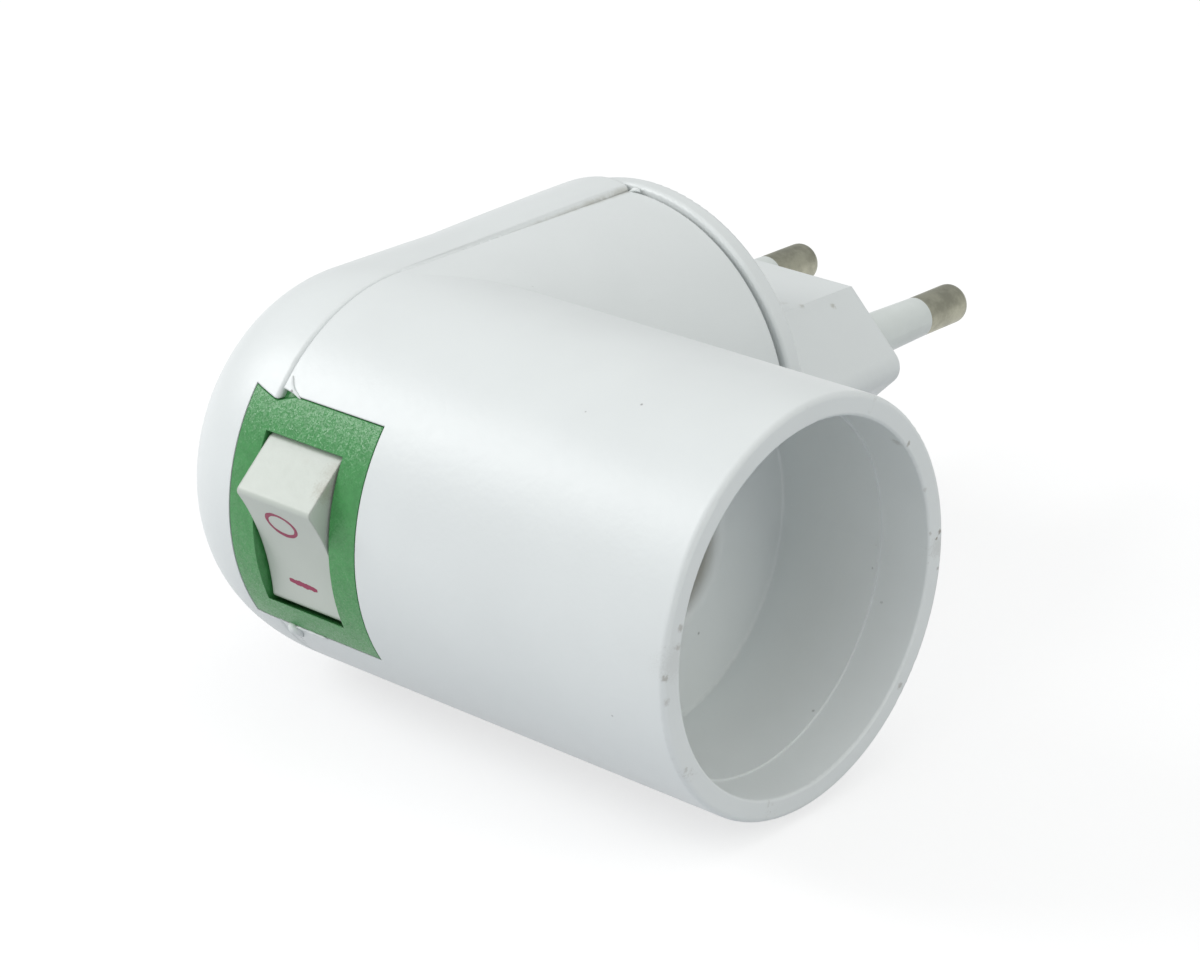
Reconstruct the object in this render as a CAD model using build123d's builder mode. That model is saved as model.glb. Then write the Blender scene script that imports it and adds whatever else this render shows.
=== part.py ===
"""Plug-in lamp holder: a round lamp shroud, a rocker switch and a turning two-pin plug in one small housing.

Frame: the origin is the middle of the plug's engagement face, between the pins. +X is the way the lamp
shroud opens, +Y the way the pins point, and +Z is up as the holder lies on its side. Millimetres.
"""
import os
from math import asin, cos, degrees, radians, sin, sqrt, tan

from build123d import *

# Housing
axis_to_face = 49.6        # lamp axis to the engagement face
seam_x = -0.8              # the two shells meet just behind the plug's axis
seam_gap = 0.12
cover_seam_round = 0.45    # rounding of the rear cover's edge along the seam
body_seam_round = 0.15
wall = 2.0
mouth_x = 45.2
rim_round = 0.5
boss_length = 30.3         # lamp axis to the end that faces the disc
boss_room = 2.5            # around the plug's inner flange

# Lamp bore
seat_depth = 5.0           # the wider front stretch that takes a shade
seat_step = 0.2
bore_depth = 15.6
floor_thickness = 2.0
floor_round = 0.25

# Small screw lamp socket
lamp_thread_r = 7.0
shell_sheet = 0.45
shell_fit = 0.1
shell_length = 14.6
socket_mouth_r = 7.2
socket_lip = 3.0           # plastic ahead of the metal shell
socket_lead_in = 1.0
sleeve_wall = 1.55
disc_lap = 0.85            # socket base over the sleeve's wall
base_disc_thickness = 1.6
base_ring_wall = 1.4
base_ring_height = 2.3
tongue_width = 4.0
tongue_sheet = 0.4
eyelet_r = 1.2
eyelet_head_r = 1.9
eyelet_head = 0.6

# Rear cover
cover_depth_lamp = 14.4    # seam to the back, on the lamp axis
cover_depth_plug = 17.6    # the same at the plug end
fullness_lamp = 0.74       # how square the back's section is; 0.55 is round
fullness_plug = 0.56
screw_spread_z = 11.5
screw_row = 2.0            # first row, from the lamp axis towards the plug
screw_clear = 3.15         # second row, from the contact plate's ribs
screw_shank_r = 1.25
screw_fit = 0.05
screw_length = 10.0
screw_head_r = 2.2
screw_head = 1.6
screw_floor = 3.0          # cover material under a screw head
tower_r = 2.3
well_wall = 1.1
well_fit = 0.3
post_y = 3.6               # posts that hold the socket base, from the lamp axis
post_z = 6.6
post_width = 3.0
post_thickness = 1.6

# Swivel and plug
neck_wall = 0.15           # plastic around the sleeves in the neck
flange_grip = 1.9
flange_thickness = 2.0
neck_fit = 0.08
swivel_fit = 0.3
end_wall = 2.1
disc_gap = 0.45
disc_overhang = 0.6        # past the boss's end
disc_rim = 1.85
disc_edge = 0.35
block_half_height = 6.9
block_margin = 1.1         # disc's edge to the block's tips
block_side_slope = 45.0
block_draft = 1.2          # degrees, wider at the disc
block_tip_round = 1.9
block_top_round = 3.0
block_face_round = 0.5
turn_range = 90.0
stop_half_angle = 6.0
stop_play_angle = 1.3
stop_width_angle = 6.0
stop_reach = 0.9           # stop lug beyond the flange

# Pins
pin_gap = 19.0
pin_r = 2.0
pin_length = 19.0
pin_core_r = 1.5
pin_end_round = 1.2
sleeve_length = 12.4
sleeve_root_r = 2.35
sleeve_seat = 3.0
pin_fit = 0.05

# Turning contacts
plate_room = 1.8           # contact plate to the boss's inner wall
plate_thickness = 1.8
plate_fit = 0.05
arc_width = 3.0
arc_sheet = 0.4
arc_overrun = 12.0
brush_gap = 0.3
pin_button = 0.5
rib_depth = 1.2
rib_hold = 1.4             # how far the ribs reach over the plate
lug_width = 2.4
lug_length = 3.0

# Rocker switch
switch_x = 3.7
switch_z = 0.2
frame_width = 15.2
frame_height = 20.8
frame_rise = 0.45          # middle of the frame above the rocker's pivot
frame_sheet = 1.2
frame_fit = 0.1
lap_height = 0.55          # how far the rear cover laps over the frame's upper edge, at the seam
nick_width = 2.2           # the small notch beside it, in the frame's and the front body's edges
nick_height = 0.25
nick_depth = 0.7
window_fit = 0.1
opening_width = 9.2
opening_height = 15.3
opening_rise = 0.3         # middle of the opening above the rocker's pivot
box_wall_side = 0.8
box_half_height = 9.3
box_below = 3.4            # pivot to the box's open inner end
pivot_depth = 5.15         # below the shroud's surface
works_room = 1.2           # socket base to the switch's box
rocker_play = 0.25
rocker_end_r = 8.1
rocker_half_chord = 5.9
rocker_hollow = 0.8
rocker_tilt = 19.6
rocker_skirt = 0.45        # how far the rocker's ends reach past its pivot
rocker_end_drop = 0.4      # pivot to the foot of each flat end face
rocker_edge = 0.5
rocker_skin = 1.1
trunnion_r = 1.0
hub_r = 1.6
trunnion_fit = 0.08
tube_r = 2.0
tube_bore_r = 1.3
tube_end = -3.0
plunger_r = 1.2
plunger_reach = 6.0
plunger_length = 5.0
spring_wire_r = 0.14
spring_turns = 5

# Switch works
blade_sheet = 0.4
blade_width = 3.2
blade_half = 5.9
blade_rise = 16.0
blade_tilt = 8.0
works_gap = 0.3
saddle_fit = 0.15
rivet_r = 1.1
rivet_head = 0.5
rivet_offset = 4.9
base_half_width = 3.9
base_half_height = 8.7
base_wall = 0.8
base_floor = 1.0
base_height = 6.4
base_rim = 0.8
terminal_sheet = 0.8
tail_length = 1.6          # terminal tails below the switch base

# Wires
wire_r = 0.75
wire_bend = 2.6
bend_margin = 0.15          # tightest bend, past the wire's radius
wire_end_gap = 0.1
wire_lead = 6.0            # straight run from a contact arc's lug
lamp_wire_lead = 3.0       # the same from the lamp terminal's tail
live_lead = 7.0            # straight run from the pivot terminal's tail
live_bend_z = 3.0          # and below the switch's middle
neutral_bend_x = -2.0
lamp_bend_z = 4.0
lamp_end_z = -1.2

# Places worked out from the sizes
lamp_y = -axis_to_face
shell_outer_r = lamp_thread_r + shell_sheet
sleeve_inner_r = shell_outer_r + shell_fit
sleeve_outer_r = sleeve_inner_r + sleeve_wall
base_disc_r = sleeve_inner_r + disc_lap
box_inner = base_disc_r + works_room
shroud_r = box_inner + box_below + pivot_depth
neck_r = pin_gap / 2 + sleeve_root_r + neck_wall
flange_r = neck_r + flange_grip
stop_r = flange_r + stop_reach
boss_end_r = flange_r + boss_room + wall
plate_r = boss_end_r - wall - plate_room
rib_inner_r = plate_r - rib_hold
disc_r = boss_end_r + disc_overhang
block_half_width = disc_r - block_margin
bore_r = shroud_r - wall
floor_x = mouth_x - bore_depth
floor_back_x = floor_x - floor_thickness
boss_end_y = lamp_y + boss_length
boss_inner_y = boss_end_y - end_wall
shell_front_x = floor_x - socket_lip
shell_back_x = shell_front_x - shell_length
sleeve_back_x = shell_back_x - base_ring_height - shell_fit
base_back_x = sleeve_back_x - base_disc_thickness
cover_seam_x = seam_x - seam_gap
disc_back_y = boss_end_y + disc_gap
disc_front_y = disc_back_y + disc_rim
flange_outer_y = boss_inner_y - swivel_fit
flange_inner_y = flange_outer_y - flange_thickness
pin_inner_y = flange_inner_y - pin_button
arc_face_y = pin_inner_y - brush_gap
plate_face_y = arc_face_y - arc_sheet
plate_back_y = plate_face_y - plate_thickness
lug_end_y = plate_back_y - lug_length
pivot_y = lamp_y - shroud_r + pivot_depth
frame_z = switch_z + frame_rise
opening_z = switch_z + opening_rise
box_inner_y = lamp_y - box_inner
blade_face_y = pivot_y + plunger_reach + works_gap
screw_row_places = (lamp_y + screw_row, plate_back_y - plate_fit - rib_depth - screw_clear)
screw_places = [(row_y, side * screw_spread_z) for row_y in screw_row_places for side in (1, -1)]
screw_head_x = cover_seam_x - screw_floor
screw_tip_x = screw_head_x + screw_length

os.makedirs("parts", exist_ok=True)


def at_x(x):
    """Plane across the lamp axis: local x is Y, local y is Z."""
    return Plane.YZ.offset(x)


def at_y(y):
    """Plane across the plug axis, facing the pins' way: local x is X, local y is -Z."""
    return Plane(origin=(0, y, 0), x_dir=(1, 0, 0), z_dir=(0, 1, 0))


def section_plane(y):
    """Plane across the plug axis with local x as X and local y as Z."""
    return Plane.XZ.offset(-y)


def cover_section(y, inset, seam_round):
    """One closed section of the rear cover: the seam's straight side and a full, rounded back."""
    share = max(y - lamp_y, 0) / boss_length
    depth = cover_depth_lamp + (cover_depth_plug - cover_depth_lamp) * share ** 2 - inset
    half = shroud_r + (boss_end_r - shroud_r) * share - inset
    full = fullness_lamp + (fullness_plug - fullness_lamp) * share ** 2
    seam, back = cover_seam_x, cover_seam_x - depth
    knee = cover_seam_x - full * depth
    edge, side = seam - seam_round, half - seam_round
    with BuildSketch(section_plane(y)) as section:
        with BuildLine():
            Bezier((edge, half), (knee, half), (back, full * half), (back, 0))
            Bezier((back, 0), (back, -full * half), (knee, -half), (edge, -half))
            if seam_round:
                JernArc((edge, -half), (1, 0), seam_round, 90)
                JernArc((edge, half), (1, 0), seam_round, -90)
            Line((seam, -side), (seam, side))
        make_face()
    return section.sketch


def cover_form(inset, end_y, seam_round=0.0):
    """The rear cover's form: a lofted stretch towards the plug and a turned end around the lamp axis."""
    depth = cover_depth_lamp - inset
    half = shroud_r - inset
    back = cover_seam_x - depth
    knee = cover_seam_x - fullness_lamp * depth
    edge, side = cover_seam_x - seam_round, half - seam_round
    stretch = end_y - lamp_y
    with BuildPart() as form:
        for share in (0, 1 / 3, 2 / 3, 1):
            add(cover_section(lamp_y + stretch * share, inset, seam_round))
        loft()
        with BuildSketch(section_plane(lamp_y)):
            with BuildLine():
                Bezier((edge, half), (knee, half), (back, fullness_lamp * half), (back, 0))
                Polyline((back, 0), (cover_seam_x, 0), (cover_seam_x, side))
                if seam_round:
                    JernArc((edge, half), (1, 0), seam_round, -90)
            make_face()
        revolve(axis=Axis((0, lamp_y, 0), (1, 0, 0)), revolution_arc=180)
    return form.part


def body_form(inset, end_y, front_x):
    """The front body's form: the shroud's cylinder and the plug boss, which widens a little to its end."""
    end_r = boss_end_r - inset - (boss_end_r - shroud_r) * (boss_end_y - end_y) / boss_length
    with BuildPart() as form:
        with BuildSketch(section_plane(lamp_y)):
            Circle(shroud_r - inset)
        with BuildSketch(section_plane(end_y)):
            Circle(end_r)
        loft()
        with BuildSketch(at_x(seam_x)):
            with Locations((lamp_y - axis_to_face, 0)):
                Rectangle(4 * axis_to_face, 4 * shroud_r)
        extrude(amount=-2 * shroud_r, mode=Mode.SUBTRACT)
        with BuildSketch(at_x(seam_x)):
            with Locations((lamp_y, 0)):
                Circle(shroud_r - inset)
        extrude(amount=front_x - seam_x)
    return form.part


def switch_block(middle_z, width, height, outer, inner):
    """A block on the switch's centre line, from one distance of the lamp axis to another."""
    with BuildPart() as block:
        with BuildSketch(Plane.XY.offset(middle_z - height / 2)):
            with Locations((switch_x, lamp_y - (outer + inner) / 2)):
                Rectangle(width, outer - inner)
        extrude(amount=height)
    return block.part


cover_outer = cover_form(0, boss_end_y)
cover_skin = cover_form(0, boss_end_y, cover_seam_round)
cover_inner = cover_form(wall, boss_inner_y)
body_outer = body_form(0, boss_end_y, mouth_x)
body_inner = body_form(wall, boss_inner_y, floor_back_x)

# The switch window: a through hole for the box and a shallow seat around it for the frame
seat_r = shroud_r - frame_sheet - frame_fit
far = 2 * shroud_r
frame_left_x = switch_x - frame_width / 2
frame_top_z = frame_z + frame_height / 2
box_width = opening_width + 2 * box_wall_side
window = switch_block(opening_z, box_width + 2 * window_fit, 2 * (box_half_height + window_fit), far, box_inner)
with BuildPart() as frame_seat:
    add(switch_block(frame_z, frame_width + 2 * frame_fit, frame_height + 2 * frame_fit, far, box_inner))
    with BuildSketch(at_x(switch_x - frame_width)):
        with Locations((lamp_y, 0)):
            Circle(seat_r)
    extrude(amount=2 * frame_width, mode=Mode.SUBTRACT)


def edge_prism(points, inner_r):
    """A prism through the switch's side of the housing, from points in X and Z, down to a radius."""
    with BuildPart() as prism:
        with BuildSketch(section_plane(lamp_y)):
            with BuildLine():
                Polyline(*points, close=True)
            make_face()
        extrude(amount=far)
        with BuildSketch(at_x(switch_x - frame_width)):
            with Locations((lamp_y, 0)):
                Circle(inner_r)
        extrude(amount=2 * frame_width, mode=Mode.SUBTRACT)
    return prism.part


def lap_points(grow):
    """The wedge of the rear cover that laps over the frame's upper edge."""
    top = frame_top_z + 2 * frame_fit
    left = frame_left_x - 2 * frame_fit
    return [(left, top), (left, frame_top_z + frame_fit - grow), (cover_seam_x, frame_top_z - lap_height - grow),
            (cover_seam_x, top)]


cover_lap = edge_prism(lap_points(0), seat_r)
lap_room = edge_prism(lap_points(frame_fit), seat_r - frame_fit)
nick = edge_prism(
    [
        (cover_seam_x, frame_top_z - lap_height - frame_fit),
        (cover_seam_x + nick_width, frame_top_z + frame_fit),
        (seam_x, frame_top_z + frame_fit + nick_height),
        (cover_seam_x, frame_top_z + frame_fit + nick_height),
    ],
    shroud_r - nick_depth,
)

# The hole in the housing's end wall for the plug's neck
with BuildPart() as neck_hole:
    with BuildSketch(at_y(boss_inner_y - swivel_fit)):
        Circle(neck_r + neck_fit)
    extrude(amount=end_wall + 2 * swivel_fit)

# Ribs on each side of the contact plate, for both shells
with BuildPart() as plate_ribs:
    for start in (plate_back_y - plate_fit - rib_depth, plate_face_y + plate_fit):
        depth = rib_depth if start < plate_back_y else flange_inner_y - swivel_fit - start
        with BuildSketch(at_y(start)):
            Circle(boss_end_r - wall / 2)
            Circle(rib_inner_r, mode=Mode.SUBTRACT)
        extrude(amount=depth)


def stop_rib(angle):
    """A stop for the plug's lug, set on the housing's wall at an angle about the plug axis."""
    with BuildPart() as rib:
        with BuildSketch(at_y(flange_inner_y)):
            with BuildLine():
                first = PolarLine((0, 0), boss_end_r - wall / 2, angle - stop_width_angle / 2)
                last = PolarLine((0, 0), boss_end_r - wall / 2, angle + stop_width_angle / 2)
                Line(first @ 1, last @ 1)
            make_face()
            Circle(flange_r + swivel_fit, mode=Mode.SUBTRACT)
        extrude(amount=flange_thickness + 2 * swivel_fit)
    return rib.part


stop_angle = stop_half_angle + stop_play_angle + stop_width_angle / 2

# Front body: shroud, boss, lamp floor and socket sleeve in one moulding
with BuildPart() as front_body:
    add(body_outer)
    add(body_inner, mode=Mode.SUBTRACT)
    # Lamp bore with its wider shade seat
    with BuildSketch(at_x(floor_x)):
        with Locations((lamp_y, 0)):
            Circle(bore_r - seat_step)
    extrude(amount=bore_depth, mode=Mode.SUBTRACT)
    floor_corner = front_body.edges().filter_by(GeomType.CIRCLE).filter_by_position(Axis.X, floor_x, floor_x)
    fillet(floor_corner, floor_round)
    with BuildSketch(at_x(mouth_x - seat_depth)):
        with Locations((lamp_y, 0)):
            Circle(bore_r)
    extrude(amount=seat_depth, mode=Mode.SUBTRACT)
    rim = front_body.edges().filter_by(GeomType.CIRCLE).filter_by_position(Axis.X, mouth_x, mouth_x)
    fillet(rim.sort_by(SortBy.RADIUS)[-1], rim_round)
    fillet(rim.sort_by(SortBy.RADIUS)[0], rim_round / 2)
    # Socket sleeve behind the floor, tied to the wall by four ribs
    with BuildSketch(at_x(sleeve_back_x)):
        with Locations((lamp_y, 0)):
            Circle(sleeve_outer_r)
    extrude(amount=floor_back_x - sleeve_back_x + floor_thickness / 2)
    with BuildSketch(at_x(floor_back_x - sleeve_outer_r)) as sleeve_ribs:
        with Locations((lamp_y, 0)):
            with PolarLocations(0, 4, 45):
                with Locations(((sleeve_outer_r + bore_r) / 2, 0)):
                    Rectangle(bore_r - sleeve_outer_r + wall, sleeve_wall)
    extrude(amount=sleeve_outer_r + floor_thickness / 2)
    # Screw towers
    with BuildSketch(at_x(seam_x)):
        with Locations(*screw_places[:2]):
            Circle(tower_r)
    extrude(amount=floor_back_x - seam_x + floor_thickness / 2)
    tower_top = sqrt((boss_end_r - wall / 2) ** 2 - screw_spread_z ** 2) - wall / 2
    with BuildSketch(at_x(seam_x)):
        with Locations(*screw_places[2:]):
            Circle(tower_r)
    extrude(amount=tower_top - seam_x)
    with BuildSketch(at_x(seam_x)):
        with Locations(*screw_places):
            Circle(screw_shank_r + screw_fit)
    extrude(amount=screw_tip_x + well_fit - seam_x, mode=Mode.SUBTRACT)
    # Bore of the sleeve, and its mouth in the floor
    with BuildSketch(at_x(sleeve_back_x)):
        with Locations((lamp_y, 0)):
            Circle(sleeve_inner_r)
    extrude(amount=shell_front_x - sleeve_back_x, mode=Mode.SUBTRACT)
    with BuildSketch(at_x(shell_front_x)):
        with Locations((lamp_y, 0)):
            Circle(socket_mouth_r)
    extrude(amount=socket_lip, mode=Mode.SUBTRACT)
    mouth_edges = front_body.edges().filter_by(GeomType.CIRCLE).filter_by_position(Axis.X, floor_x, floor_x)
    fillet(mouth_edges.sort_by(SortBy.RADIUS)[0], socket_lead_in)
    # Plate ribs and the stop at the far end of the turn, kept on this side of the seam
    with BuildPart(mode=Mode.PRIVATE) as body_ribs:
        add(plate_ribs.part)
        add(stop_rib(180 + turn_range + stop_angle))
        add(body_outer, mode=Mode.INTERSECT)
    add(body_ribs.part)
    add(neck_hole.part, mode=Mode.SUBTRACT)
    add(window, mode=Mode.SUBTRACT)
    add(frame_seat.part, mode=Mode.SUBTRACT)
    add(nick, mode=Mode.SUBTRACT)
front_body.part.label = "front_body"
export_step(front_body.part, "parts/front_body.step")

# Rear cover: the other shell, with its screw wells
with BuildPart() as rear_cover:
    add(cover_skin)
    add(cover_inner, mode=Mode.SUBTRACT)
    with BuildPart(mode=Mode.PRIVATE) as wells:
        with BuildSketch(at_x(cover_seam_x)):
            with Locations(*screw_places):
                Circle(screw_head_r + well_fit + well_wall)
        extrude(amount=-cover_depth_plug)
        add(cover_outer, mode=Mode.INTERSECT)
    add(wells.part)
    with BuildSketch(at_x(cover_seam_x)):
        with Locations(*screw_places):
            Circle(screw_shank_r + well_fit)
    extrude(amount=-screw_floor, mode=Mode.SUBTRACT)
    with BuildSketch(at_x(screw_head_x)):
        with Locations(*screw_places):
            Circle(screw_head_r + well_fit)
    extrude(amount=-cover_depth_plug, mode=Mode.SUBTRACT)
    with BuildPart(mode=Mode.PRIVATE) as cover_ribs:
        add(plate_ribs.part)
        add(stop_rib(180 - stop_angle))
        add(cover_outer, mode=Mode.INTERSECT)
    add(cover_ribs.part)
    # Two posts that hold the socket base down
    with BuildSketch(at_x(base_back_x)):
        with Locations(*[(lamp_y + post_y, side * post_z) for side in (1, -1)]):
            Rectangle(post_width, post_thickness)
    extrude(amount=cover_seam_x - cover_depth_lamp + wall / 2 - base_back_x)
    add(neck_hole.part, mode=Mode.SUBTRACT)
    add(window, mode=Mode.SUBTRACT)
    with BuildPart(mode=Mode.PRIVATE) as cover_seat:
        add(frame_seat.part)
        add(cover_lap, mode=Mode.SUBTRACT)
    add(cover_seat.part, mode=Mode.SUBTRACT)
rear_cover.part.label = "rear_cover"
export_step(rear_cover.part, "parts/rear_cover.step")

# Cover screws
with BuildPart() as cover_screws:
    with BuildSketch(at_x(screw_head_x)):
        with Locations(*screw_places):
            Circle(screw_head_r)
    extrude(amount=-screw_head)
    head_edges = cover_screws.edges().filter_by_position(Axis.X, screw_head_x - screw_head, screw_head_x - screw_head)
    fillet(head_edges, screw_head / 2)
    with BuildSketch(at_x(screw_head_x)):
        with Locations(*screw_places):
            Circle(screw_shank_r)
    extrude(amount=screw_length - screw_shank_r)
    with BuildSketch(at_x(screw_tip_x - screw_shank_r)):
        with Locations(*screw_places):
            Circle(screw_shank_r)
    extrude(amount=screw_shank_r, taper=25)
    with BuildSketch(at_x(screw_head_x - screw_head)):
        with Locations(*screw_places):
            Rectangle(screw_head_r * 1.2, screw_head / 3)
            Rectangle(screw_head / 3, screw_head_r * 1.2)
    extrude(amount=screw_head * 0.6, mode=Mode.SUBTRACT)
cover_screws.part.label = "cover_screws"
export_step(cover_screws.part, "parts/cover_screws.step")

# Switch frame: a curved face flush with the shroud and a box for the rocker
with BuildPart() as switch_frame:
    add(switch_block(frame_z, frame_width, frame_height, far, box_inner))
    with BuildSketch(at_x(switch_x - frame_width)):
        with Locations((lamp_y, 0)):
            Circle(shroud_r - frame_sheet)
    extrude(amount=2 * frame_width, mode=Mode.SUBTRACT)
    add(switch_block(opening_z, box_width, 2 * box_half_height, far, box_inner))
    with BuildPart(mode=Mode.PRIVATE) as outer_faces:
        add(body_outer)
        add(cover_outer)
        with BuildSketch(at_x(cover_seam_x)):
            with Locations((lamp_y, 0)):
                Circle(shroud_r)
        extrude(amount=seam_gap)
    add(outer_faces.part, mode=Mode.INTERSECT)
    add(switch_block(opening_z, opening_width, opening_height, far, box_inner - wall), mode=Mode.SUBTRACT)
    with BuildSketch(at_x(switch_x - opening_width / 2)):
        with Locations((pivot_y, switch_z)):
            Circle(rocker_end_r + rocker_play)
    extrude(amount=opening_width, mode=Mode.SUBTRACT)
    with BuildSketch(at_x(switch_x - box_width)):
        with Locations((pivot_y, switch_z)):
            Circle(trunnion_r + trunnion_fit)
    extrude(amount=2 * box_width, mode=Mode.SUBTRACT)
    add(lap_room, mode=Mode.SUBTRACT)
    add(nick, mode=Mode.SUBTRACT)
switch_frame.part.label = "switch_frame"
export_step(switch_frame.part, "parts/switch_frame.step")

# Rocker pieces share a plane at the pivot that leans with the rocker, as it is switched on
lean = radians(rocker_tilt)


def rocker_plane(x):
    """Local x runs along the rocker's face, up; local y points out of its face."""
    return Plane(origin=(x, pivot_y, switch_z), x_dir=(0, -sin(lean), cos(lean)), z_dir=(1, 0, 0))


rocker_half = opening_width / 2 - rocker_play
chord_height = sqrt(rocker_end_r ** 2 - rocker_half_chord ** 2)
foot_half = sqrt(rocker_end_r ** 2 - rocker_end_drop ** 2)
skirt_half = sqrt(rocker_end_r ** 2 - rocker_skirt ** 2)
tube_plane = Plane(
    origin=(switch_x, pivot_y, switch_z),
    x_dir=(1, 0, 0),
    z_dir=(0, cos(lean), sin(lean)),
)

with BuildPart() as rocker:
    with BuildSketch(rocker_plane(switch_x - rocker_half)):
        with BuildLine():
            ThreePointArc((rocker_half_chord, chord_height), (0, chord_height - rocker_hollow),
                          (-rocker_half_chord, chord_height))
            for side in (1, -1):
                Line((side * rocker_half_chord, chord_height), (side * foot_half, rocker_end_drop))
                ThreePointArc((side * foot_half, rocker_end_drop), (side * rocker_end_r, 0),
                              (side * skirt_half, -rocker_skirt))
            Line((skirt_half, -rocker_skirt), (-skirt_half, -rocker_skirt))
        make_face()
    extrude(amount=2 * rocker_half)
    ridges = rocker.edges().filter_by(Axis.X).sort_by_distance((switch_x, pivot_y - 2 * shroud_r, switch_z))[:2]
    fillet(ridges, rocker_edge)
    # Hollow underneath, on both sides of the hub
    pocket_top = chord_height - rocker_hollow - rocker_skin
    with BuildSketch(rocker_plane(switch_x - rocker_half + rocker_skin)):
        for side in (1, -1):
            with BuildLine():
                Polyline(
                    (side * tube_r, -2 * rocker_skirt),
                    (side * tube_r, pocket_top),
                    (side * (rocker_half_chord - rocker_skin), pocket_top),
                    (side * (foot_half - 1.5 * rocker_skin), rocker_end_drop),
                    (side * (foot_half - 1.5 * rocker_skin), -2 * rocker_skirt),
                    close=True,
                )
            make_face()
    extrude(amount=2 * (rocker_half - rocker_skin), mode=Mode.SUBTRACT)
    # Hub and trunnions
    with BuildSketch(rocker_plane(switch_x - rocker_half)):
        Circle(hub_r)
    extrude(amount=2 * rocker_half)
    with BuildSketch(rocker_plane(switch_x - opening_width / 2 - box_wall_side / 2)):
        Circle(trunnion_r)
    extrude(amount=opening_width + box_wall_side)
    # Guide tube for the plunger
    with BuildSketch(tube_plane.offset(-chord_height / 2)):
        Circle(tube_r)
    extrude(amount=chord_height / 2 - tube_end)
    with BuildSketch(tube_plane.offset(-chord_height / 2)):
        Circle(tube_bore_r)
    extrude(amount=chord_height / 2 - tube_end, mode=Mode.SUBTRACT)
rocker.part.label = "rocker"
export_step(rocker.part, "parts/rocker.step")

with BuildPart() as rocker_plunger:
    with BuildSketch(tube_plane.offset(plunger_reach - plunger_length)):
        Circle(plunger_r)
    extrude(amount=plunger_length)
    fillet(rocker_plunger.edges().sort_by_distance((switch_x, blade_face_y, switch_z + tan(lean) * plunger_reach))[0],
           plunger_r * 0.9)
rocker_plunger.part.label = "rocker_plunger"
export_step(rocker_plunger.part, "parts/rocker_plunger.step")

spring_room = plunger_reach - plunger_length + chord_height / 2 - 4 * spring_wire_r
spring_base = tube_plane.offset(-chord_height / 2 + 2 * spring_wire_r)
with BuildPart() as rocker_spring:
    with BuildLine():
        coil = Helix(
            spring_room / spring_turns,
            spring_room,
            plunger_r - 2 * spring_wire_r,
            center=spring_base.origin,
            direction=spring_base.z_dir,
        )
    with BuildSketch(Plane(origin=coil @ 0, z_dir=coil % 0)):
        Circle(spring_wire_r)
    sweep()
rocker_spring.part.label = "rocker_spring"
export_step(rocker_spring.part, "parts/rocker_spring.step")

# Moving contact: a blade bent like a shallow V that rocks in the saddle of its terminal
turn = radians(blade_tilt)
blade_origin = (switch_x - blade_width / 2, blade_face_y + blade_sheet / 2, switch_z)
blade_plane = Plane(origin=blade_origin, x_dir=(0, sin(turn), cos(turn)), z_dir=(1, 0, 0))
rise = radians(blade_rise)
blade_end = (blade_half * cos(rise), blade_half * sin(rise))
bend_r = blade_sheet
bend_centre = blade_plane.from_local_coords(Vector(0, bend_r / cos(rise), 0))
saddle_r = bend_r + blade_sheet / 2 + saddle_fit
saddle_y = bend_centre.Y + sqrt(saddle_r ** 2 - (terminal_sheet / 2) ** 2)

with BuildPart() as contact_blade:
    with BuildSketch(blade_plane):
        with BuildLine():
            FilletPolyline((-blade_end[0], blade_end[1]), (0, 0), blade_end, radius=bend_r)
        trace(line_width=blade_sheet)
    extrude(amount=blade_width)
contact_blade.part.label = "contact_blade"
export_step(contact_blade.part, "parts/contact_blade.step")

# The blade's rivet stands on its upper half, square to the sheet
half_lean = rise - turn
rivet_spot = Vector(switch_x, blade_face_y + blade_sheet / 2, switch_z) + Vector(
    0, -rivet_offset * sin(half_lean), rivet_offset * cos(half_lean))
rivet_axis = Vector(0, cos(half_lean), sin(half_lean))
with BuildPart() as blade_rivet:
    with BuildSketch(Plane(origin=rivet_spot + rivet_axis * (blade_sheet / 2), z_dir=rivet_axis)):
        Circle(rivet_r)
    extrude(amount=rivet_head)
blade_rivet.part.label = "blade_rivet"
export_step(blade_rivet.part, "parts/blade_rivet.step")

# Fixed terminals
rivet_face = rivet_spot + rivet_axis * (blade_sheet / 2 + rivet_head)
rivet_low_y = rivet_face.Y + rivet_r * sin(half_lean) + works_gap
terminal_y = rivet_low_y + rivet_head
with BuildPart() as terminal_rivet:
    with BuildSketch(Plane(origin=(switch_x, rivet_low_y, rivet_face.Z), z_dir=(0, 1, 0))):
        Circle(rivet_r)
    extrude(amount=rivet_head)
terminal_rivet.part.label = "terminal_rivet"
export_step(terminal_rivet.part, "parts/terminal_rivet.step")

tail_y = box_inner_y + base_height + tail_length
lamp_tail_z = switch_z + rivet_offset + rivet_r + terminal_sheet
with BuildPart() as lamp_terminal:
    with BuildSketch(at_x(switch_x - blade_width / 2)):
        with BuildLine():
            Polyline(
                (terminal_y, switch_z + rivet_offset - 1.5 * rivet_r),
                (terminal_y, lamp_tail_z),
                (tail_y, lamp_tail_z),
                (tail_y, lamp_tail_z - terminal_sheet),
                (terminal_y + terminal_sheet, lamp_tail_z - terminal_sheet),
                (terminal_y + terminal_sheet, switch_z + rivet_offset - 1.5 * rivet_r),
                close=True,
            )
        make_face()
    extrude(amount=blade_width)
lamp_terminal.part.label = "lamp_terminal"
export_step(lamp_terminal.part, "parts/lamp_terminal.step")

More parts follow.
